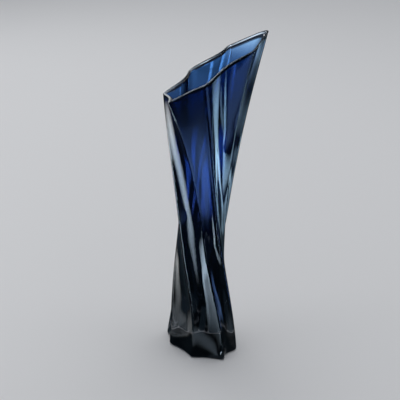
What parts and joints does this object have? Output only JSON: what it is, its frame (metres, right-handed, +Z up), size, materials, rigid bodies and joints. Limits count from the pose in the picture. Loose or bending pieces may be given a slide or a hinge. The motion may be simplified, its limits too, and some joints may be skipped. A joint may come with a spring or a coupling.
{
  "type": "column trophy",
  "caption": "Tall twisted column trophy in pleated art glass: slanted open rim, narrow waist, solid clear foot, blue-lined hollow, soft pad underneath.",
  "frame": {"origin": "centre of the foot's underside, where the twist axis meets the table", "axes": "+Z up along the twist axis; +X towards the high tip of the slanted rim; -Y towards the front, where the long front panel of the rim is"},
  "size_m": [0.1011, 0.0811, 0.3277],
  "materials": {
    "clear_crystal": "polished lead-free crystal, faintly smoky towards the foot",
    "blue_glass": "polished cobalt blue glass that fades towards the foot",
    "adhesive_film": "clear adhesive film",
    "grey_pad": "matt soft silicone"
  },
  "bodies": {
    "root": {"crystal_body": "clear_crystal", "blue_liner": "blue_glass", "pad_adhesive": "adhesive_film", "foot_pad": "grey_pad"}
  },
  "joints": []
}
